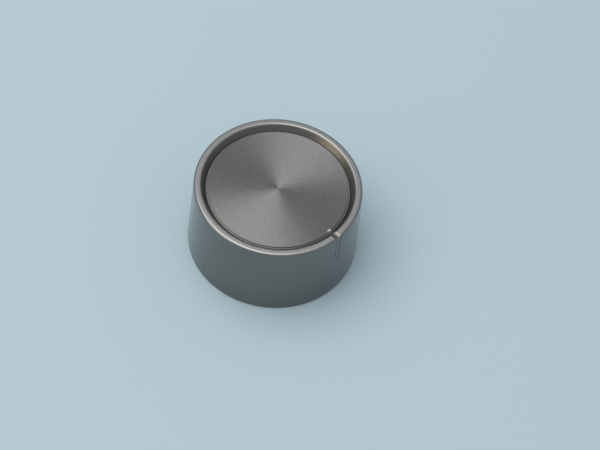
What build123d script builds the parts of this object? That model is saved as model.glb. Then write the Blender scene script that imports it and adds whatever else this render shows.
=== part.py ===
# A large push-on control knob: a turned aluminium cap, a moulded insert pressed into it,
# and a spring ring that closes the insert's split hub on a 6 mm serrated shaft.
# Millimetres. The origin is the centre of the base plane, +Z runs up to the face,
# and the pointer slot is on the -Y side.
from build123d import *
import math
import os

# Cap, outside
TOP_RADIUS = 18.5  # side wall carried up to the plane of the rim's top
BASE_RADIUS = 19.0  # side wall at the base plane
HEIGHT = 20.0  # base plane to the rim's top
RIM_WIDTH = 1.5  # rim bead, measured at its top
RIM_OUTER_ROUND = 0.5
RIM_INNER_CHAMFER = 0.2
GROOVE_WIDTH = 1.5  # ring groove between the rim and the face
GROOVE_DEPTH = 1.75  # below the rim's top
GROOVE_FLOOR = 0.3  # flat width beside the face, from which the outer flank leans out
FACE_RECESS = 1.15  # face below the rim's top
FACE_EDGE_CHAMFER = 0.12
BASE_EDGE_CHAMFER = 0.3

# Cap, inside
SKIRT_WALL = 1.4  # at its thinnest, since the outside is tapered and the bore is straight
CROWN_THICKNESS = 1.65  # metal left under the ring groove
MOUTH_CHAMFER = 0.4  # lead-in for the insert
INSIDE_CORNER = 0.4  # left by the boring tool

# Pointer slot, milled down the side and across the rim, with a nick in the face's edge
SLOT_WIDTH = 1.85
SLOT_DEPTH = 0.5  # into the side and into the rim's top alike
SLOT_LENGTH = 8.0  # from the rim's top to the round lower end
NICK_REACH = 0.4  # how far the nick runs into the face
NICK_DEPTH = 0.15  # below the face

# Insert: ring and web
INSERT_CLEARANCE = 0.2  # between the insert's ring and the cap's bore
CRUSH_RIB_COUNT = 12
CRUSH_RIB_ROUND = 0.6
CRUSH_RIB_CLEARANCE = 0.02  # crest of an unpressed rib to the cap's bore
CRUSH_RIB_START = 1.5  # below the insert's top, so that the ring enters first
RING_WALL = 1.5
RING_SETBACK = 1.0  # above the base plane, so that the metal stands on the panel
TOP_CORNER_GAP = 0.3  # insert's top chamfer beyond the cap's inside corner
WEB_THICKNESS = 1.5
STIFFENER_COUNT = 6
STIFFENER_THICKNESS = 1.2
STIFFENER_RISE = 3.0  # its lower edge above the ring's, at the ring
STIFFENER_RELIEF = 0.6  # its lower edge above the slits, at the hub
MOULD_CORNER = 0.4
DRAFT = 1.0  # degrees

# Insert: hub
HUB_RADIUS = 5.2
HUB_SETBACK = 3.0  # above the base plane, clear of the shaft's nut
HUB_END_WALL = 2.8  # from the blind end of the socket to the cap
HUB_SOLID = 4.0  # unslit hub beside the socket's blind end
SHAFT_RADIUS = 3.0  # to the tips of the shaft's serrations
SERRATION_COUNT = 18
SERRATION_DEPTH = 0.25
SERRATION_WIDTH = 0.5
SOCKET_LEAD_IN = 0.5
SLIT_WIDTH = 1.2

# Spring ring and its seat on the hub
SEAT_DEPTH = 0.4
SEAT_SETBACK = 1.2  # above the hub's mouth
RING_AXIAL_CLEARANCE = 0.1
RING_GRIP_CLEARANCE = 0.02
CLAMP_THICKNESS = 0.6
CLAMP_WIDTH = 2.5
CLAMP_OPENING = 3.0

# Heights and radii that follow from the sizes above
SLOPE = math.atan2(BASE_RADIUS - TOP_RADIUS, HEIGHT)
RIM_INNER_RADIUS = TOP_RADIUS - RIM_WIDTH
FACE_RADIUS = RIM_INNER_RADIUS - GROOVE_WIDTH
CEILING = HEIGHT - GROOVE_DEPTH - CROWN_THICKNESS
SIDE_AT_CEILING = TOP_RADIUS + (HEIGHT - CEILING) * math.tan(SLOPE)
CAP_BORE = min(SIDE_AT_CEILING, BASE_RADIUS) - SKIRT_WALL
RING_RADIUS = CAP_BORE - INSERT_CLEARANCE
RING_INSIDE = RING_RADIUS - RING_WALL
WEB_UNDERSIDE = CEILING - WEB_THICKNESS
SOCKET_END = CEILING - HUB_END_WALL
SLIT_END = SOCKET_END - HUB_SOLID
SOCKET_RADIUS = SHAFT_RADIUS - SERRATION_DEPTH
SEAT_RADIUS = HUB_RADIUS - SEAT_DEPTH
SEAT_LOW = HUB_SETBACK + SEAT_SETBACK
SEAT_HIGH = SEAT_LOW + CLAMP_WIDTH + 2 * RING_AXIAL_CLEARANCE
OVERCUT = 1.0  # how far a cutter runs past what it cuts


def corner(outline, radius, height):
    """The corner of a flat outline that lies nearest to a radius and a height."""
    return outline.vertices().sort_by_distance((radius, height, 0))[0]


def turned(outline):
    """Turn an outline drawn as radius and height about the knob's axis."""
    return revolve(Plane.XZ * outline, Axis.Z)


def cap_blank():
    """The cap as it leaves the lathe, before the pointer slot is milled."""
    groove_floor = HEIGHT - GROOVE_DEPTH
    face = HEIGHT - FACE_RECESS
    outline = make_face(
        Polyline(
            (CAP_BORE, 0),
            (BASE_RADIUS, 0),
            (TOP_RADIUS, HEIGHT),
            (RIM_INNER_RADIUS, HEIGHT),
            (FACE_RADIUS + GROOVE_FLOOR, groove_floor),
            (FACE_RADIUS, groove_floor),
            (FACE_RADIUS, face),
            (0, face),
            (0, CEILING),
            (CAP_BORE, CEILING),
            close=True,
        )
    )
    outline = fillet(corner(outline, TOP_RADIUS, HEIGHT), RIM_OUTER_ROUND)
    outline = chamfer(corner(outline, RIM_INNER_RADIUS, HEIGHT), RIM_INNER_CHAMFER)
    outline = chamfer(corner(outline, CAP_BORE, CEILING), INSIDE_CORNER)
    outline = chamfer(corner(outline, FACE_RADIUS, face), FACE_EDGE_CHAMFER)
    outline = chamfer(corner(outline, BASE_RADIUS, 0), BASE_EDGE_CHAMFER)
    outline = chamfer(corner(outline, CAP_BORE, 0), MOUTH_CHAMFER)
    return turned(outline)


def side_slot():
    """The cutter's path down the side: square to the wall, with a round lower end."""
    down = Vector(0, -math.sin(SLOPE), -math.cos(SLOPE))
    out = Vector(0, -math.cos(SLOPE), math.sin(SLOPE))
    wall = Plane(origin=(0, -TOP_RADIUS, HEIGHT), x_dir=down, z_dir=out)
    end_centre = SLOT_LENGTH - SLOT_WIDTH / 2
    run = end_centre + OVERCUT
    path = Pos((end_centre - OVERCUT) / 2, 0) * Rectangle(run, SLOT_WIDTH)
    path += Pos(end_centre, 0) * Circle(SLOT_WIDTH / 2)
    floor = wall.offset(-SLOT_DEPTH)
    return extrude(floor * path, SLOT_DEPTH + OVERCUT)


def rim_slot():
    """The cutter's path across the rim, from the ring groove outwards."""
    outer = TOP_RADIUS + OVERCUT
    path = Pos(0, -(FACE_RADIUS + outer) / 2) * Rectangle(SLOT_WIDTH, outer - FACE_RADIUS)
    return extrude(Pos(0, 0, HEIGHT - SLOT_DEPTH) * path, SLOT_DEPTH + OVERCUT)


def face_nick():
    """A short nick in the face's edge, in line with the slot."""
    nick = Box(SLOT_WIDTH, 2 * NICK_REACH, 2 * NICK_DEPTH)
    return Pos(0, -FACE_RADIUS, HEIGHT - FACE_RECESS) * nick


def cap():
    """The finished cap."""
    return cap_blank() - side_slot() - rim_slot() - face_nick()


def insert_blank():
    """Ring, web and hub of the insert, as one turned form with moulding draft."""
    draft = math.tan(math.radians(DRAFT))
    ring_root = RING_INSIDE - (WEB_UNDERSIDE - RING_SETBACK) * draft
    hub_root = HUB_RADIUS + (WEB_UNDERSIDE - SEAT_HIGH) * draft
    outline = make_face(
        Polyline(
            (0, CEILING),
            (RING_RADIUS, CEILING),
            (RING_RADIUS, RING_SETBACK),
            (RING_INSIDE, RING_SETBACK),
            (ring_root, WEB_UNDERSIDE),
            (hub_root, WEB_UNDERSIDE),
            (HUB_RADIUS, SEAT_HIGH),
            (SEAT_RADIUS, SEAT_HIGH),
            (SEAT_RADIUS, SEAT_LOW),
            (HUB_RADIUS, SEAT_LOW),
            (HUB_RADIUS, HUB_SETBACK),
            (0, HUB_SETBACK),
            close=True,
        )
    )
    outline = chamfer(corner(outline, ring_root, WEB_UNDERSIDE), MOULD_CORNER)
    outline = chamfer(corner(outline, hub_root, WEB_UNDERSIDE), MOULD_CORNER)
    outline = chamfer(corner(outline, RING_RADIUS, CEILING), INSIDE_CORNER + TOP_CORNER_GAP)
    outline = chamfer(corner(outline, HUB_RADIUS, HUB_SETBACK), SEAT_DEPTH)
    return turned(outline)


def crush_ribs():
    """Upright half-round ribs on the ring, which the cap's bore crushes as the insert goes in."""
    reach = CAP_BORE - CRUSH_RIB_CLEARANCE - CRUSH_RIB_ROUND
    length = CEILING - CRUSH_RIB_START - RING_SETBACK
    rib = extrude(Circle(CRUSH_RIB_ROUND), length)
    first = Pos(reach, 0, RING_SETBACK) * rib
    return [place * first for place in PolarLocations(0, CRUSH_RIB_COUNT)]


def stiffeners():
    """Radial ribs under the web, which stop short of the slit part of the hub."""
    inner = (SEAT_RADIUS + SOCKET_RADIUS) / 2
    outer = RING_RADIUS - RING_WALL / 2
    side = make_face(
        Polyline(
            (inner, WEB_UNDERSIDE + WEB_THICKNESS / 2),
            (outer, WEB_UNDERSIDE + WEB_THICKNESS / 2),
            (outer, RING_SETBACK + STIFFENER_RISE),
            (inner, SLIT_END + STIFFENER_RELIEF),
            close=True,
        )
    )
    rib = extrude(Plane.XZ * side, STIFFENER_THICKNESS / 2, both=True)
    half_pitch = 180 / STIFFENER_COUNT
    return [place * rib for place in PolarLocations(0, STIFFENER_COUNT, start_angle=half_pitch)]


def socket():
    """The serrated blind socket: a round bore, a V groove for each serration and a coned mouth."""
    bore = Circle(SOCKET_RADIUS)
    groove = make_face(
        Polyline(
            (SOCKET_RADIUS - SERRATION_DEPTH, -SERRATION_WIDTH / 2),
            (SOCKET_RADIUS, -SERRATION_WIDTH / 2),
            (SHAFT_RADIUS, 0),
            (SOCKET_RADIUS, SERRATION_WIDTH / 2),
            (SOCKET_RADIUS - SERRATION_DEPTH, SERRATION_WIDTH / 2),
            close=True,
        )
    )
    bore += [place * groove for place in PolarLocations(0, SERRATION_COUNT)]
    mouth_radius = SHAFT_RADIUS + SOCKET_LEAD_IN
    upright = (Align.CENTER, Align.CENTER, Align.MIN)
    mouth = Cone(mouth_radius, SOCKET_RADIUS, mouth_radius - SOCKET_RADIUS, align=upright)
    at_mouth = Pos(0, 0, HUB_SETBACK)
    return [at_mouth * extrude(bore, SOCKET_END - HUB_SETBACK), at_mouth * mouth]


def slits():
    """One saw-straight slit across the hub's mouth, which parts it into two jaws."""
    height = SLIT_END - HUB_SETBACK
    cut = Box(2 * (HUB_RADIUS + OVERCUT), SLIT_WIDTH, height + OVERCUT)
    return Pos(0, 0, SLIT_END - (height + OVERCUT) / 2) * cut


def hub_insert():
    """The moulded insert that fills the cap and holds the shaft."""
    solid = insert_blank() + (crush_ribs() + stiffeners())
    return solid - (socket() + [slits()])


def clamp_ring():
    """The open spring ring, seated round the hub with its opening square to the slits."""
    inside = SEAT_RADIUS + RING_GRIP_CLEARANCE
    band = Circle(inside + CLAMP_THICKNESS) - Circle(inside)
    band -= Pos(0, -inside) * Rectangle(CLAMP_OPENING, 2 * inside)
    return Pos(0, 0, SEAT_LOW + RING_AXIAL_CLEARANCE) * extrude(band, CLAMP_WIDTH)


def main():
    """Write one STEP file for each piece."""
    os.makedirs("parts", exist_ok=True)
    for build in (cap, hub_insert, clamp_ring):
        export_step(build(), f"parts/{build.__name__}.step")


main()
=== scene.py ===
"""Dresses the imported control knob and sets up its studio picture.

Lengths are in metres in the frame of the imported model: the origin is the centre of the
base plane, +Z runs up to the face, and the pointer slot is on the -Y side.
"""
import math
import bmesh
import bpy
import numpy as np
from bpy.props import FloatProperty, FloatVectorProperty, PointerProperty
from mathutils import Matrix, Vector


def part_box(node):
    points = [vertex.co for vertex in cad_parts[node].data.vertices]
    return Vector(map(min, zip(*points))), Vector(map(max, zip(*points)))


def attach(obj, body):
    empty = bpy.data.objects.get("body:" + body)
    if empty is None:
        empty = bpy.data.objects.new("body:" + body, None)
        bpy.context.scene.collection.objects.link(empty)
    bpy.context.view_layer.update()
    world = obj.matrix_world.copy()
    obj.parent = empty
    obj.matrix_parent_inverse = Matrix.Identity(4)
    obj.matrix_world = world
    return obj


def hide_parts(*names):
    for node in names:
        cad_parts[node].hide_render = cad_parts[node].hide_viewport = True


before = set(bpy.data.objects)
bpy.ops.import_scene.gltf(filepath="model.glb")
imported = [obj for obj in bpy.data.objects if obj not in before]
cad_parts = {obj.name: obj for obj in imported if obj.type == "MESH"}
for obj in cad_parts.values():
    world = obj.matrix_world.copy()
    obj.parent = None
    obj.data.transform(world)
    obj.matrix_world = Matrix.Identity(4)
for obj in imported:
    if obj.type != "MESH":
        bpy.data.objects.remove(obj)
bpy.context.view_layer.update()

bl_info = {
    "name": "Turned control knob",
    "version": (1, 0, 0),
    "blender": (4, 5, 0),
    "location": "3D View > Sidebar > Knob",
    "description": "Dresses the packed control knob and sets up its studio picture",
    "category": "Object",
}

MM = 0.001

# Points closer together than this are one point
MERGE = 0.0002 * MM
# Edges that bend more than this stay sharp
SHARP = math.radians(32)

# Material slots of the cap, and what each finish turns into where the cutter has passed. SIDE
# holds a colour darkened as painted shade, BEAD one lightened as painted highlight, and CUT one
# lightened partly as fresh-cut metal and partly as painted highlight
SPUN, SIDE, BEAD, GROOVE, CUT = range(5)
FINISH_IN_CUT = (CUT, SIDE, GROOVE, GROOVE)
# Rows on the plain part of the face, as shares of its radius
FACE_ROWS = (0, 0.14, 0.3, 0.46, 0.62, 0.78, 0.9, 0.96)
# Rows of the rim's outer round, counted from the top, that take the bead's lighter colour, a
# painted highlight; the rows below take the side's darker colour, a painted shade
HIGHLIGHT_PAINTED_ROWS = 9
# Columns of the cap's mesh: across the cut, in the fan on each side of it, and round the rest
CUT_COLUMNS = 23
FAN_COLUMNS = 20
REST_COLUMNS = 290
# Half the angle that the cut and its fans take up, and how quickly the fans widen
FAN_ANGLE = math.radians(12)
FAN_POWER = 1.6
# A cell counts as cut where it is pressed in by more than this share of the cut's depth
CUT_SHARE = 0.05

# Columns along the spring ring, and how much of the rolled edge's round its ends lose
RING_COLUMNS = 146
END_ROUND = 0.6

FLOOR_RADIUS = 2.0
# The photograph's view: its turn about the knob's axis, its height above the table, its roll,
# and the camera's place to the right of, above and back from the origin along its own axes
VIEW_TURN = math.radians(-52.4)
VIEW_HEIGHT = math.radians(54.76)
VIEW_ROLL = math.radians(8.03)
VIEW_PLACE = (6.31 * MM, 2.8 * MM, 495.9 * MM)
SENSOR_WIDTH = 36.0


def linear(hex_colour):
    """Scene-linear red, green and blue of an sRGB hex colour."""
    channels = np.array([int(hex_colour[i : i + 2], 16) / 255 for i in (1, 3, 5)])
    low = channels / 12.92
    high = ((channels + 0.055) / 1.055) ** 2.4
    return tuple(float(c) for c in np.where(channels <= 0.04045, low, high))


def length(name, millimetres, description):
    """A length property, stored in metres."""
    return FloatProperty(
        name=name,
        description=description,
        default=millimetres * MM,
        min=0.0,
        precision=5,
        subtype="DISTANCE",
        unit="LENGTH",
    )


def colour(name, hex_colour, description):
    """A colour property, written as sRGB hex and stored scene-linear."""
    return FloatVectorProperty(
        name=name,
        description=description,
        default=linear(hex_colour),
        min=0.0,
        max=1.0,
        size=3,
        subtype="COLOR",
    )


def share(name, default, description):
    """A property that runs from none to all."""
    return FloatProperty(
        name=name,
        description=description,
        default=default,
        min=0.0,
        max=1.0,
        subtype="FACTOR",
    )


def number(name, default, description, **settings):
    """A plain number that isn't negative."""
    return FloatProperty(name=name, description=description, default=default, min=0.0, **settings)


class CapSizes(bpy.types.PropertyGroup):
    """Sizes of the turned cap. Its height and its foot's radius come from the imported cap."""

    taper: length("Taper", 0.5, "How much wider the side is at the base than at the rim")
    rim_width: length("Rim width", 1.5, "Rim bead, measured at its top")
    rim_inner_round: length("Rim inner round", 0.5, "Round on the groove side of the rim")
    rim_outer_round: length("Rim outer round", 0.6, "Round on the outside of the rim")
    groove_width: length("Groove width", 1.5, "Ring groove between the rim and the face")
    groove_depth: length("Groove depth", 1.55, "Groove floor below the rim's top")
    groove_floor: length("Groove floor", 0.3, "Flat width from which the outer flank leans out")
    groove_corner: length("Groove corner", 0.1, "Nose radius that the groove tool leaves")
    face_recess: length("Face recess", 1.15, "Face below the rim's top")
    face_edge_round: length("Face edge round", 0.06, "Broken edge of the face")
    base_edge_round: length("Base edge round", 0.5, "Broken edge of the foot")
    mouth_chamfer: length("Mouth chamfer", 0.4, "Lead-in to the bore")
    inside_corner: length("Inside corner", 0.4, "Corner that the boring tool leaves")
    skirt_wall: length("Skirt wall", 1.4, "Thinnest wall between the bore and the side")
    crown: length("Crown", 1.85, "Metal left under the ring groove")


class SlotSizes(bpy.types.PropertyGroup):
    """Sizes of the pointer slot, milled with a ball-nosed cutter, and of its nick in the face."""

    cutter: length("Cutter", 1.5, "Radius of the cutter's ball nose")
    side_depth: length("Side depth", 0.3, "Depth into the side")
    rim_depth: length("Rim depth", 0.5, "Depth into the rim's top")
    reach: length("Length", 8.0, "From the rim's top to the round lower end")
    nick_depth: length("Nick depth", 0.2, "Depth of the nick below the face")
    nick_reach: length("Nick reach", 0.6, "How far the nick runs into the face")
    edge_round: length("Edge round", 0.08, "Burr-free edge left by the finishing wheel")


class ClampSizes(bpy.types.PropertyGroup):
    """Sizes of the open spring ring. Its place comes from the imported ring."""

    thickness: length("Thickness", 0.6, "Strip thickness")
    opening: length("Opening", 3.0, "Gap between the two ends")
    corner: length("Corner", 0.15, "Rolled edge of the strip")


class Finishes(bpy.types.PropertyGroup):
    """Colours and gloss of the aluminium, the plastic and the spring steel."""

    face: colour("Face", "#919190", "Spun and anodised aluminium, seen square on")
    face_roughness: share("Face roughness", 0.36, "Roughness of the spun face")
    face_grain: share("Face grain", 0.82, "How strongly the spun face fans the light")
    # The bead's colour is a lighter copy of the same aluminium: a painted highlight where the rim
    # catches the lamp.
    bead: colour("Bead", "#A9A9A7", "Anodised aluminium of the rim, lightened as painted highlight")
    bead_roughness: share("Bead roughness", 0.36, "Roughness of the rim bead")
    # The side's colour is a darker copy of the same aluminium: painted shade from the shadowed
    # floor that the side reflects.
    skin: colour("Side", "#7E7E7C", "Satin anodised aluminium of the side")
    skin_roughness: share("Side roughness", 0.17, "Roughness of the side")
    groove: colour("Groove", "#8B8985", "Anodised aluminium of the ring groove")
    groove_roughness: share("Groove roughness", 0.36, "Roughness of the ring groove")
    # The nick's colour is lighter than the face's, partly as fresh-cut metal and partly as a
    # painted highlight.
    cut: colour("Cut", "#BEBEBA", "Milled aluminium of the nick")
    cut_roughness: share("Cut roughness", 0.46, "Roughness of the milled cut")
    plastic: colour("Plastic", "#17181A", "Black moulded plastic")
    steel: colour("Steel", "#6F737A", "Blued spring steel")


class StageSettings(bpy.types.PropertyGroup):
    """Floor, lamps and camera."""

    floor: colour("Floor", "#CBE1EB", "Pale board under the knob")
    key: number("Key", 5.3, "Power of the large soft lamp", unit="POWER")
    key_size: length("Key size", 1100, "Width of the large soft lamp")
    side: number("Side", 1.0, "Power of the low warm lamp", unit="POWER")
    side_size: length("Side size", 600, "Width of the low warm lamp")
    zenith: number("Zenith", 0.46, "Strength of the even light from above")
    horizon: number("Horizon", 0.18, "Strength of the even light from the side")
    lens: number("Lens", 132.0, "Focal length in millimetres")


# Meshes


def arc(centre, radius, start, stop, steps):
    """Points at centre + radius (cos a, sin a), from one angle a in degrees to another."""
    angle = np.radians(np.linspace(start, stop, steps + 1))
    return np.array(centre) + radius * np.column_stack((np.cos(angle), np.sin(angle)))


def grid_mesh(name, points, finish_of_face=None):
    """A closed shell from a grid of points whose columns wrap round.

    Neighbouring points that coincide, as at a pole, are merged, and faces that lose
    their area there are dropped.
    """
    rows, columns = points.shape[:2]
    index = np.arange(rows * columns).reshape(rows, columns)
    after = np.roll(index, -1, axis=1)
    quads = np.stack((index[:-1], index[1:], after[1:], after[:-1]), axis=-1).reshape(-1, 4)
    mesh = bpy.data.meshes.new(name)
    mesh.from_pydata(points.reshape(-1, 3).tolist(), [], quads.tolist())
    if finish_of_face is not None:
        slots = finish_of_face.reshape(-1).astype(np.int32)
        mesh.polygons.foreach_set("material_index", slots)
    shell = bmesh.new()
    shell.from_mesh(mesh)
    bmesh.ops.remove_doubles(shell, verts=shell.verts, dist=MERGE)
    bmesh.ops.dissolve_degenerate(shell, edges=shell.edges, dist=MERGE)
    bmesh.ops.recalc_face_normals(shell, faces=shell.faces)
    shell.to_mesh(mesh)
    shell.free()
    mesh.shade_smooth()
    mesh.set_sharp_from_angle(angle=SHARP)
    return mesh


def place(name, mesh, node, materials):
    """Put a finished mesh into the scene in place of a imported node."""
    piece = bpy.data.objects.new(name, mesh)
    bpy.context.scene.collection.objects.link(piece)
    for material in materials:
        mesh.materials.append(material)
    weighted = piece.modifiers.new("Flat faces stay flat", "WEIGHTED_NORMAL")
    weighted.keep_sharp = True
    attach(piece, "root")
    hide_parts(node)
    return piece


class CapForm:
    """The turned cap as rings of points, pressed in where the cutter has passed.

    The profile runs from the middle of the face, over the groove and the rim, down the
    side and up the bore to the middle of the ceiling. Each row of it holds a radius and a
    height, the same two for the deepest line of the cut under it, the cut's depth there
    and how far the row lies past the centre of the cut's round end.
    """

    def __init__(self, sizes, slot, box):
        high = box[1]
        self.height = high.z
        self.slope = math.atan2(sizes.taper, self.height)
        cos, sin = math.cos(self.slope), math.sin(self.slope)
        # the foot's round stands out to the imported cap's widest radius
        self.foot_centre = high.x - sizes.base_edge_round
        self.base_radius = self.foot_centre + sizes.base_edge_round * (1 + sin) / cos
        self.rim_inside = self.base_radius - sizes.taper - sizes.rim_width
        self.face_radius = self.rim_inside - sizes.groove_width
        self.face = self.height - sizes.face_recess
        self.groove_level = self.height - sizes.groove_depth
        self.ceiling = self.groove_level - sizes.crown
        self.bore = self.side(self.ceiling) - sizes.skirt_wall
        self.cutter = slot.cutter
        self.edge = slot.edge_round
        self.side_depth = slot.side_depth
        self.rim_depth = slot.rim_depth
        self.nick_depth = slot.nick_depth
        self.slot_end = slot.reach - self.half_width(0.0, slot.side_depth)
        nick_width = self.half_width(0.0, slot.nick_depth)
        self.nick_centre = self.face_radius - slot.nick_reach + nick_width
        self.rows = []
        self.finish = []
        self.trace_face(sizes)
        self.trace_rim(sizes)
        self.trace_side(sizes)
        self.trace_bore(sizes)

    def side(self, height):
        """Radius of the tapered side at a height."""
        return self.base_radius - math.tan(self.slope) * height

    def down_side(self, along):
        """Points of the tapered side at distances along it from the plane of the rim's top."""
        height = self.height - along * math.cos(self.slope)
        return np.column_stack((self.side(height), height))

    def half_width(self, past, depth):
        """Half the width of a cut, out to where its rounded edges meet the surface.

        With R the cutter's radius, e the edge's round and d the depth, the two circles
        touch, so half width = sqrt((R + e)^2 - (R + e - d)^2 - past^2).
        """
        reach = self.cutter + self.edge
        return np.sqrt(np.maximum(0.0, reach**2 - (reach - depth) ** 2 - np.square(past)))

    def sunk(self, away, depth):
        """Depth of a cut at a distance from its middle line, or from its round end's centre.

        Inside, the cutter's circle: sqrt(R^2 - t^2) - (R - d). Near the edge, the round
        that meets it: e - sqrt(e^2 - (t - half width)^2).
        """
        ball, edge = self.cutter, self.edge
        width = self.half_width(0.0, depth)
        inner = np.sqrt(np.maximum(0.0, ball**2 - away**2)) - (ball - depth)
        outer = edge - np.sqrt(np.maximum(0.0, edge**2 - (away - width) ** 2))
        touch = width * ball / (ball + edge)
        return np.where(away < touch, inner, np.where(away < width, outer, 0.0))

    def add(self, outline, finish, past=np.inf, depth=1.0, cut=None):
        """Add rows from an outline of radius and height; the cut gives its deepest line."""
        cut = outline if cut is None else np.minimum(outline, cut)
        columns = np.broadcast_arrays(*outline.T, *cut.T, depth, past)
        self.rows.append(np.stack(columns, axis=-1))
        self.finish += [finish] * len(outline)

    def add_slot(self, outline, finish, past, depth):
        """Add rows over the rim or down the side, with the slot's deepest line under them."""
        inside = self.side(outline[:, 1]) - self.side_depth
        level = np.full(len(outline), self.height - self.rim_depth)
        self.add(outline, finish, past, depth, np.column_stack((inside, level)))

    def trace_face(self, sizes):
        """From the middle of the face over the nick, round the face's edge and down its wall."""
        rounding = sizes.face_edge_round
        start = self.nick_centre - self.half_width(0.0, self.nick_depth)
        radii = start * np.array(FACE_ROWS)
        self.add(np.column_stack((radii, np.full_like(radii, self.face))), SPUN)
        nick_level = self.face - self.nick_depth
        nick_line = (np.inf, nick_level)
        radii = np.linspace(start, self.face_radius - rounding, num=9)
        outline = np.column_stack((radii, np.full_like(radii, self.face)))
        self.add(outline, SPUN, self.nick_centre - radii, self.nick_depth, nick_line)
        centre = (self.face_radius - rounding, self.face - rounding)
        edge = arc(centre, rounding, 90, 0, steps=4)[1:]
        low = max(nick_level, self.groove_level + sizes.groove_corner)
        drop = np.linspace(edge[-1, 1], low, num=4)[1:]
        wall = np.column_stack((np.full_like(drop, self.face_radius), drop))
        outline = np.vstack((edge, wall))
        past = self.nick_centre - outline[:, 0]
        self.add(outline, GROOVE, past, self.nick_depth, nick_line)

    def trace_rim(self, sizes):
        """Across the groove, up its leaning flank and over the rim to the side."""
        corner = sizes.groove_corner
        level = self.groove_level + corner
        foot = self.face_radius + sizes.groove_floor
        rise = math.atan2(sizes.groove_depth, self.rim_inside - foot)
        turn = math.degrees(rise)
        inner = arc((self.face_radius + corner, level), corner, 180, 270, steps=4)
        outer_centre = (foot - corner * math.tan(rise / 2), level)
        outer = arc(outer_centre, corner, 270, 270 + turn, steps=4)
        rounding = sizes.rim_inner_round
        crest_start = self.rim_inside + rounding * math.tan(rise / 2)
        brow_centre = (crest_start, self.height - rounding)
        brow = arc(brow_centre, rounding, 90 + turn, 90, steps=6)
        flank = np.linspace(outer[-1], brow[0], num=12)[1:-1]
        rounding = sizes.rim_outer_round
        level = self.height - rounding
        crest_end = self.side(level) - rounding / math.cos(self.slope)
        shoulder = arc((crest_end, level), rounding, 90, math.degrees(self.slope), steps=12)
        crest = np.linspace(brow[-1], shoulder[0], num=5)[1:-1]
        self.add_slot(np.vstack((inner, outer, flank)), GROOVE, 0.0, self.rim_depth)
        self.add_slot(np.vstack((brow, crest)), BEAD, 0.0, self.rim_depth)
        # round the shoulder the slot runs from its depth in the rim to its depth in the side
        depth = np.linspace(self.rim_depth, self.side_depth, len(shoulder))
        # the shoulder's top rows take the bead's painted highlight colour, its lower rows the
        # side's painted shade colour
        self.add_slot(shoulder[:HIGHLIGHT_PAINTED_ROWS], BEAD, 0.0, depth[:HIGHLIGHT_PAINTED_ROWS])
        self.add_slot(shoulder[HIGHLIGHT_PAINTED_ROWS:], SIDE, 0.0, depth[HIGHLIGHT_PAINTED_ROWS:])

    def trace_side(self, sizes):
        """Down the side to the slot's round end, and on to the foot."""
        cos, sin = math.cos(self.slope), math.sin(self.slope)
        start = sizes.rim_outer_round * (1 - sin) / cos
        width = self.half_width(0.0, self.side_depth)
        quarter = np.radians(np.linspace(0, 90, num=13)[1:])
        straight = np.linspace(start, self.slot_end, num=10)[1:]
        along = np.concatenate((straight, self.slot_end + width * np.sin(quarter)))
        past = np.maximum(0.0, along - self.slot_end)
        self.add_slot(self.down_side(along), SIDE, past, self.side_depth)
        foot = (self.height - sizes.base_edge_round * (1 - sin)) / cos
        self.add(self.down_side(np.linspace(along[-1], foot, num=9)[1:]), SIDE)

    def trace_bore(self, sizes):
        """Round the foot and up the bore to the middle of the ceiling."""
        rounding, corner = sizes.base_edge_round, sizes.inside_corner
        centre = (self.foot_centre, rounding)
        foot = arc(centre, rounding, math.degrees(self.slope), -90, steps=5)[1:]
        bore = (
            (self.bore + sizes.mouth_chamfer, 0),
            (self.bore, sizes.mouth_chamfer),
            (self.bore, self.ceiling - corner),
            (self.bore - corner, self.ceiling),
            (0, self.ceiling),
        )
        self.add(np.vstack((foot, bore)), SIDE)

    def points(self):
        """Carry the rows round the axis and press them in along the cut.

        Columns stand at even angles, except within the reach of the cut. There the inner
        ones keep to the cut's half width w at x = w sin(a), so that they gather where the
        edges are rounded, and the outer ones spread out from it.
        """
        data = np.vstack(self.rows)
        radius, height, cut_radius, cut_height, depth, past = (c[:, None] for c in data.T)
        across = np.sin(np.radians(np.linspace(-90, 90, CUT_COLUMNS)))
        fan = (np.arange(1, FAN_COLUMNS + 1) / FAN_COLUMNS) ** FAN_POWER
        ones = np.ones_like(fan)
        turn = np.concatenate((-ones, across, ones))[None]
        spread = np.concatenate((fan[::-1], np.zeros_like(across), fan))[None]
        # a row that isn't cut has no width to keep to
        plain = ~np.isfinite(past)
        width = np.where(plain, 0.0, self.half_width(past, depth))
        room = np.maximum(0.0, radius * math.sin(FAN_ANGLE) - width)
        x = turn * width + np.sign(turn) * room * spread
        away = np.hypot(x, np.where(plain, 1.0, past))
        press = np.where(plain, 0.0, self.sunk(away, depth) / depth)
        inward = (radius - cut_radius) * press
        level = height + (cut_height - height) * press
        y = inward - np.sqrt(np.maximum(0.0, radius**2 - x**2))
        near = np.stack(np.broadcast_arrays(x, y, level), axis=-1)
        angle = np.linspace(FAN_ANGLE, 2 * math.pi - FAN_ANGLE, REST_COLUMNS)[None, 1:-1]
        circle = (radius * np.sin(angle), -radius * np.cos(angle), height)
        far = np.stack(np.broadcast_arrays(*circle), axis=-1)
        points = np.concatenate((near, far), axis=1)
        # the nick keeps the cutter's rougher, lighter finish, lighter partly as fresh-cut metal
        # and partly as a painted highlight, and the slot takes the groove's
        uncut = np.zeros(far.shape[:2], dtype=bool)
        pressed = np.concatenate((press > CUT_SHARE, uncut), axis=1)
        pressed = pressed[1:] & np.roll(pressed, -1, axis=1)[1:]
        finish = np.broadcast_to(np.array(self.finish)[1:, None], pressed.shape)
        return points, np.where(pressed, np.choose(finish, FINISH_IN_CUT), finish)


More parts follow.
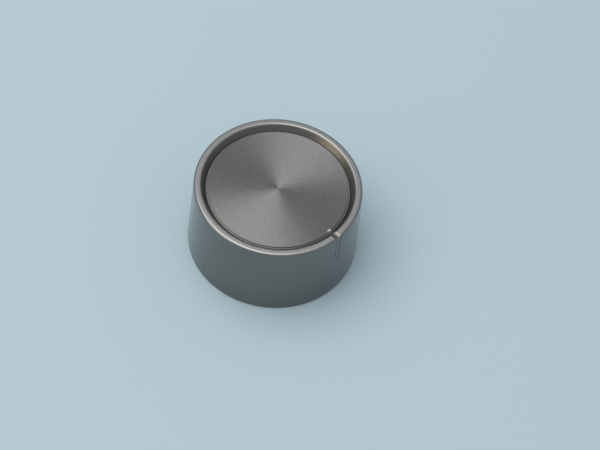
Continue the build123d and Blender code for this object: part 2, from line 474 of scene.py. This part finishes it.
def ring_points(sizes, box):
    """A strip with rolled edges, carried round the hub and left open at the slot's side.

    Section: a rounded rectangle. Path: a circle, with each point of the section ending
    where the circle through it meets the opening's flat end. The end columns shrink by
    the edge's round and then to the middle, which closes them.
    """
    low, high = box
    corner = sizes.corner
    outside = high.x
    centre = np.array([outside - sizes.thickness / 2, (low.z + high.z) / 2])
    half = np.array([sizes.thickness / 2, (high.z - low.z) / 2])
    corners = ((1, 1, 0), (-1, 1, 90), (-1, -1, 180), (1, -1, 270))
    inner = half - corner
    section = np.vstack(
        [arc((u * inner[0], v * inner[1]), corner, a, a + 90, steps=4) for u, v, a in corners]
    )
    # each end: the middle of its flat face, that face's rim, and the rolled edge. The strip is
    # 180 units long, so that a unit is about two degrees
    end_turn = np.array((0, 0, 0.04))
    end_size = np.array((0, 1, 1))
    end_inset = np.array((0, 1, 0.3))
    strip = np.linspace(0.15, 179.85, RING_COLUMNS)
    turn = np.concatenate((end_turn, strip, 180 - end_turn[::-1]))
    size = np.concatenate((end_size, np.ones_like(strip), end_size[::-1]))
    inset = np.concatenate((end_inset, np.zeros_like(strip), end_inset[::-1]))
    rolled = np.sign(section) * np.minimum(corner, np.abs(section)) * END_ROUND
    size = size[:, None, None] * (section - rolled * inset[:, None, None])
    radius = centre[0] + size[..., 0]
    height = centre[1] + size[..., 1]
    gap = np.arcsin(sizes.opening / 2 / radius)
    angle = gap + (turn[:, None] / 180) * (2 * math.pi - 2 * gap) - math.pi / 2
    return np.stack((radius * np.cos(angle), radius * np.sin(angle), height), axis=-1)


# Materials


def add(tree, kind, inputs=None, **settings):
    """Add a node, apply its settings, and set or link its inputs."""
    node = tree.nodes.new(kind)
    for name, value in settings.items():
        setattr(node, name, value)
    for key, value in (inputs or {}).items():
        if isinstance(value, bpy.types.NodeSocket):
            tree.links.new(value, node.inputs[key])
        else:
            node.inputs[key].default_value = value
    return node


def new_material(name):
    """A material with an empty node tree."""
    material = bpy.data.materials.new(name)
    material.use_nodes = True
    material.node_tree.nodes.clear()
    return material, material.node_tree


def finish_material(tree, shader):
    """Lead a shader to the material's output."""
    add(tree, "ShaderNodeOutputMaterial", {"Surface": shader.outputs[0]})


def spun_aluminium(finishes):
    """Aluminium faced on a lathe, then satin anodised.

    The facing tool leaves fine rings, which fan a lamp's reflection into two sectors, and
    the etch before anodising leaves a fine grain over them.
    """
    material, tree = new_material("Spun face, satin anodised aluminium")
    coords = add(tree, "ShaderNodeTexCoord").outputs["Object"]
    flat = add(tree, "ShaderNodeVectorMath", {0: coords, 1: (1, 1, 0)}, operation="MULTIPLY")
    radius = add(tree, "ShaderNodeVectorMath", {0: flat.outputs[0]}, operation="LENGTH")
    # feed marks are about 0.1 mm apart; they are drawn at 0.45 mm so that they show
    rings = add(
        tree,
        "ShaderNodeTexNoise",
        {"W": radius.outputs["Value"], "Scale": 1 / (0.45 * MM), "Detail": 3.0, "Roughness": 0.7},
        noise_dimensions="1D",
    ).outputs["Fac"]
    # etch grain of about 0.05 mm, drawn at 0.5 mm so that it shows
    grain = add(
        tree,
        "ShaderNodeTexNoise",
        {"Vector": coords, "Scale": 1 / (0.5 * MM), "Detail": 3.0, "Roughness": 0.75},
    ).outputs["Fac"]
    lines = add(tree, "ShaderNodeMath", {0: rings, 1: 0.25, 2: -0.225}, operation="MULTIPLY_ADD")
    mixed = add(
        tree,
        "ShaderNodeMath",
        {0: grain, 1: 1.2, 2: lines.outputs[0]},
        operation="MULTIPLY_ADD",
    ).outputs[0]
    dark = [c * 0.76 for c in finishes.face]
    light = [min(1, c * 1.24) for c in finishes.face]
    tone = add(
        tree,
        "ShaderNodeMix",
        {"Factor": mixed, "A": (*dark, 1), "B": (*light, 1)},
        data_type="RGBA",
    ).outputs["Result"]
    roughness = finishes.face_roughness
    gloss = add(
        tree,
        "ShaderNodeMapRange",
        {"Value": mixed, "To Min": roughness - 0.05, "To Max": roughness + 0.05},
    ).outputs[0]
    bump = add(tree, "ShaderNodeBump", {"Height": mixed, "Strength": 1.0, "Distance": 0.02 * MM})
    tangent = add(tree, "ShaderNodeTangent", direction_type="RADIAL", axis="Z")
    shader = add(
        tree,
        "ShaderNodeBsdfPrincipled",
        {
            "Base Color": tone,
            "Metallic": 1.0,
            "Roughness": gloss,
            "Anisotropic": finishes.face_grain,
            "Anisotropic Rotation": 0.25,
            "Tangent": tangent.outputs[0],
            "Normal": bump.outputs[0],
        },
    )
    finish_material(tree, shader)
    return material


def turned_aluminium(finishes, name, part):
    """Aluminium turned smooth, lightly blasted and anodised: an even sheen."""
    base = getattr(finishes, part)
    roughness = getattr(finishes, part + "_roughness")
    material, tree = new_material(name)
    coords = add(tree, "ShaderNodeTexCoord").outputs["Object"]
    # blast grain of about 0.05 mm, drawn at 0.25 mm so that it shows
    grain = add(
        tree,
        "ShaderNodeTexNoise",
        {"Vector": coords, "Scale": 1 / (0.25 * MM), "Detail": 3.0, "Roughness": 0.6},
    ).outputs["Fac"]
    dark = [c * 0.95 for c in base]
    light = [min(1, c * 1.05) for c in base]
    tone = add(
        tree,
        "ShaderNodeMix",
        {"Factor": grain, "A": (*dark, 1), "B": (*light, 1)},
        data_type="RGBA",
    ).outputs["Result"]
    gloss = add(
        tree,
        "ShaderNodeMapRange",
        {"Value": grain, "To Min": roughness - 0.02, "To Max": roughness + 0.02},
    ).outputs[0]
    bump = add(tree, "ShaderNodeBump", {"Height": grain, "Strength": 1.0, "Distance": 0.0012 * MM})
    shader = add(
        tree,
        "ShaderNodeBsdfPrincipled",
        {"Base Color": tone, "Metallic": 1.0, "Roughness": gloss, "Normal": bump.outputs[0]},
    )
    finish_material(tree, shader)
    return material


def moulded_abs(finishes):
    """Black ABS from a spark-eroded mould: a fine even texture with a soft sheen."""
    material, tree = new_material("Moulded black ABS")
    coords = add(tree, "ShaderNodeTexCoord").outputs["Object"]
    # spark texture of about 0.03 mm, drawn at 0.15 mm so that it shows
    spark = add(
        tree,
        "ShaderNodeTexNoise",
        {"Vector": coords, "Scale": 1 / (0.15 * MM), "Detail": 2.0, "Roughness": 0.5},
    ).outputs["Fac"]
    # the melt's flow leaves a faint cloudiness over a few millimetres
    flow = add(
        tree,
        "ShaderNodeTexNoise",
        {"Vector": coords, "Scale": 1 / (6 * MM), "Detail": 2.0},
    ).outputs["Fac"]
    dark = [c * 0.8 for c in finishes.plastic]
    light = [c * 1.3 for c in finishes.plastic]
    tone = add(
        tree,
        "ShaderNodeMix",
        {"Factor": flow, "A": (*dark, 1), "B": (*light, 1)},
        data_type="RGBA",
    )
    gloss = add(tree, "ShaderNodeMapRange", {"Value": spark, "To Min": 0.38, "To Max": 0.58})
    bump = add(tree, "ShaderNodeBump", {"Height": spark, "Strength": 1.0, "Distance": 0.01 * MM})
    shader = add(
        tree,
        "ShaderNodeBsdfPrincipled",
        {
            "Base Color": tone.outputs["Result"],
            "Roughness": gloss.outputs[0],
            "IOR": 1.54,
            "Normal": bump.outputs[0],
        },
    )
    finish_material(tree, shader)
    return material


def spring_steel(finishes):
    """Hardened and blued spring strip: smooth, grey, with rolling lines along the strip."""
    material, tree = new_material("Blued spring steel")
    coords = add(tree, "ShaderNodeTexCoord").outputs["Object"]
    height = add(tree, "ShaderNodeSeparateXYZ", {0: coords}).outputs["Z"]
    # rolling lines of about 0.02 mm, drawn at 0.12 mm so that they show
    lines = add(
        tree,
        "ShaderNodeTexNoise",
        {"W": height, "Scale": 1 / (0.12 * MM), "Detail": 2.0},
        noise_dimensions="1D",
    ).outputs["Fac"]
    # the tempering bath blues the strip unevenly, over a few millimetres
    blotch = add(
        tree,
        "ShaderNodeTexNoise",
        {"Vector": coords, "Scale": 1 / (2.5 * MM), "Detail": 3.0},
    ).outputs["Fac"]
    cool = [c * f for c, f in zip(finishes.steel, (0.8, 0.9, 1.1))]
    tone = add(
        tree,
        "ShaderNodeMix",
        {"Factor": blotch, "A": (*cool, 1), "B": (*finishes.steel, 1)},
        data_type="RGBA",
    )
    gloss = add(tree, "ShaderNodeMapRange", {"Value": lines, "To Min": 0.24, "To Max": 0.4})
    bump = add(tree, "ShaderNodeBump", {"Height": lines, "Strength": 1.0, "Distance": 0.003 * MM})
    shader = add(
        tree,
        "ShaderNodeBsdfPrincipled",
        {
            "Base Color": tone.outputs["Result"],
            "Metallic": 1.0,
            "Roughness": gloss.outputs[0],
            "Normal": bump.outputs[0],
        },
    )
    finish_material(tree, shader)
    return material


def matt_board(settings):
    """Matt painted board: no gloss to speak of, and a faint unevenness from the roller."""
    material, tree = new_material("Matt pale board")
    coords = add(tree, "ShaderNodeTexCoord").outputs["Object"]
    # a short-pile roller leaves a stipple of about 1.2 mm
    stipple = add(
        tree,
        "ShaderNodeTexNoise",
        {"Vector": coords, "Scale": 1 / (1.2 * MM), "Detail": 3.0},
    ).outputs["Fac"]
    dark = [c * 0.985 for c in settings.floor]
    light = [min(1, c * 1.015) for c in settings.floor]
    tone = add(
        tree,
        "ShaderNodeMix",
        {"Factor": stipple, "A": (*dark, 1), "B": (*light, 1)},
        data_type="RGBA",
    )
    shader = add(
        tree,
        "ShaderNodeBsdfPrincipled",
        {"Base Color": tone.outputs["Result"], "Roughness": 0.85, "Specular IOR Level": 0.2},
    )
    finish_material(tree, shader)
    return material


# Operators

# Turned and milled finishes of the cap, in the order of its material slots after the spun face.
# The side's colour holds painted shade, the bead's a painted highlight, and the nick's is partly a
# painted highlight
TURNED = (
    ("Turned side, anodised aluminium darkened as painted shade", "skin"),
    ("Turned bead, bright anodised aluminium", "bead"),
    ("Turned groove, matt anodised aluminium", "groove"),
    ("Milled cut, anodised aluminium", "cut"),
)


class KNOB_OT_cap(bpy.types.Operator):
    """Build the turned cap with its milled pointer slot"""

    bl_idname = "knob.cap"
    bl_label = "Cap"

    def execute(self, context):
        scene = context.scene
        form = CapForm(scene.knob_cap, scene.knob_slot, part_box("cap"))
        points, finish = form.points()
        finishes = scene.knob_finishes
        materials = [spun_aluminium(finishes)]
        materials += [turned_aluminium(finishes, name, part) for name, part in TURNED]
        mesh = grid_mesh("turned_cap", points, finish)
        place("turned_cap", mesh, "cap", materials)
        return {"FINISHED"}


class KNOB_OT_hub_insert(bpy.types.Operator):
    """Give the moulded insert its plastic"""

    bl_idname = "knob.hub_insert"
    bl_label = "Hub insert"

    def execute(self, context):
        piece = bpy.data.objects["hub_insert"]
        plastic = moulded_abs(context.scene.knob_finishes)
        for slot in piece.material_slots:
            slot.material = plastic
        return {"FINISHED"}


class KNOB_OT_clamp_ring(bpy.types.Operator):
    """Build the open spring ring round the hub"""

    bl_idname = "knob.clamp_ring"
    bl_label = "Spring ring"

    def execute(self, context):
        scene = context.scene
        mesh = grid_mesh("spring_ring", ring_points(scene.knob_clamp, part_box("clamp_ring")))
        materials = [spring_steel(scene.knob_finishes)]
        place("spring_ring", mesh, "clamp_ring", materials)
        return {"FINISHED"}


class KNOB_OT_stage(bpy.types.Operator):
    """Lay the floor and set the lamps and the camera"""

    bl_idname = "knob.stage"
    bl_label = "Stage"

    def execute(self, context):
        scene = context.scene
        settings = scene.knob_stage
        scene.view_settings.view_transform = "Standard"
        lay_floor(settings)
        set_lamps(scene, settings)
        set_camera(scene, settings)
        return {"FINISHED"}


def lay_floor(settings):
    """A round flat board that reaches far outside the picture."""
    edge = np.zeros((120, 3))
    edge[:, :2] = arc((0, 0), FLOOR_RADIUS, 0, 360, steps=120)[:-1]
    mesh = bpy.data.meshes.new("floor")
    mesh.from_pydata(edge.tolist(), [], [list(range(len(edge)))])
    mesh.materials.append(matt_board(settings))
    floor = bpy.data.objects.new("floor", mesh)
    bpy.context.scene.collection.objects.link(floor)


def set_lamps(scene, settings):
    """A large soft lamp overhead, a low warm one on the left, and an even light all round."""
    world = bpy.data.worlds.new("Even light")
    world.use_nodes = True
    tree = world.node_tree
    tree.nodes.clear()
    # brighter overhead than at the horizon, as in a room lit from its ceiling
    direction = add(tree, "ShaderNodeTexCoord").outputs["Generated"]
    up = add(tree, "ShaderNodeSeparateXYZ", {0: direction})
    level = add(
        tree,
        "ShaderNodeMapRange",
        {"Value": up.outputs["Z"], "To Min": settings.horizon, "To Max": settings.zenith},
    )
    cool = (0.95, 0.99, 1.04, 1)
    sky = add(tree, "ShaderNodeBackground", {"Color": cool, "Strength": level.outputs[0]})
    add(tree, "ShaderNodeOutputWorld", {"Surface": sky.outputs[0]})
    scene.world = world
    # name, direction in the photograph's view, width, power and tint
    lamps = (
        ("key", (-0.28, 0.0, 0.95), settings.key_size, settings.key, (1.0, 0.985, 0.96)),
        ("side", (-0.87, -0.45, 0.22), settings.side_size, settings.side, (1.0, 0.84, 0.55)),
    )
    for name, towards, size, power, tint in lamps:
        aim = Matrix.Rotation(VIEW_TURN, 3, "Z") @ Vector(towards).normalized()
        lamp = bpy.data.lights.new(name, "AREA")
        lamp.shape = "DISK"
        lamp.size = size
        lamp.color = tint
        lamp.energy = power
        lamp_object = bpy.data.objects.new(name, lamp)
        lamp_object.location = aim
        lamp_object.rotation_euler = aim.to_track_quat("Z", "Y").to_euler()
        scene.collection.objects.link(lamp_object)


def set_camera(scene, settings):
    """The camera stands where the knob's circles and its outline agree with the photograph."""
    forward = Vector((0, math.cos(VIEW_HEIGHT), -math.sin(VIEW_HEIGHT)))
    level = Vector((1, 0, 0))
    upright = level.cross(forward)
    right = math.cos(VIEW_ROLL) * level + math.sin(VIEW_ROLL) * upright
    up = math.cos(VIEW_ROLL) * upright - math.sin(VIEW_ROLL) * level
    across, above, back = VIEW_PLACE
    spot = across * right + above * up - back * forward
    axes = Matrix((right, up, -forward)).transposed().to_4x4()
    data = bpy.data.cameras.new("camera")
    data.sensor_width = SENSOR_WIDTH
    data.lens = settings.lens
    data.clip_start = 0.01
    data.clip_end = 10.0
    camera = bpy.data.objects.new("camera", data)
    camera.matrix_world = Matrix.Rotation(VIEW_TURN, 4, "Z") @ Matrix.Translation(spot) @ axes
    scene.collection.objects.link(camera)
    scene.camera = camera


class KNOB_PT_panel(bpy.types.Panel):
    """Sizes, finishes and the steps that build the knob"""

    bl_idname = "KNOB_PT_panel"
    bl_label = "Control knob"
    bl_space_type = "VIEW_3D"
    bl_region_type = "UI"
    bl_category = "Knob"

    def draw(self, context):
        for title, settings, steps in PARTS:
            box = self.layout.box()
            box.label(text=title)
            for name in settings:
                group = getattr(context.scene, name)
                for key in group.__annotations__:
                    box.prop(group, key)
            for step in steps:
                box.operator(step)


GROUPS = {
    "knob_cap": CapSizes,
    "knob_slot": SlotSizes,
    "knob_clamp": ClampSizes,
    "knob_finishes": Finishes,
    "knob_stage": StageSettings,
}
PARTS = (
    ("Cap", ("knob_cap", "knob_slot"), ("knob.cap",)),
    ("Insert and spring ring", ("knob_clamp",), ("knob.hub_insert", "knob.clamp_ring")),
    ("Finishes", ("knob_finishes",), ()),
    ("Stage", ("knob_stage",), ("knob.stage",)),
)
CLASSES = (
    *GROUPS.values(),
    KNOB_OT_cap,
    KNOB_OT_hub_insert,
    KNOB_OT_clamp_ring,
    KNOB_OT_stage,
    KNOB_PT_panel,
)


def register():
    for cls in CLASSES:
        bpy.utils.register_class(cls)
    for name, group in GROUPS.items():
        setattr(bpy.types.Scene, name, PointerProperty(type=group))


def unregister():
    for name in GROUPS:
        delattr(bpy.types.Scene, name)
    for cls in reversed(CLASSES):
        bpy.utils.unregister_class(cls)


def main():
    """Register the add-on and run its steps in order."""
    register()
    bpy.ops.knob.cap()
    bpy.ops.knob.hub_insert()
    bpy.ops.knob.clamp_ring()
    bpy.ops.knob.stage()


if __name__ == "__main__":
    main()
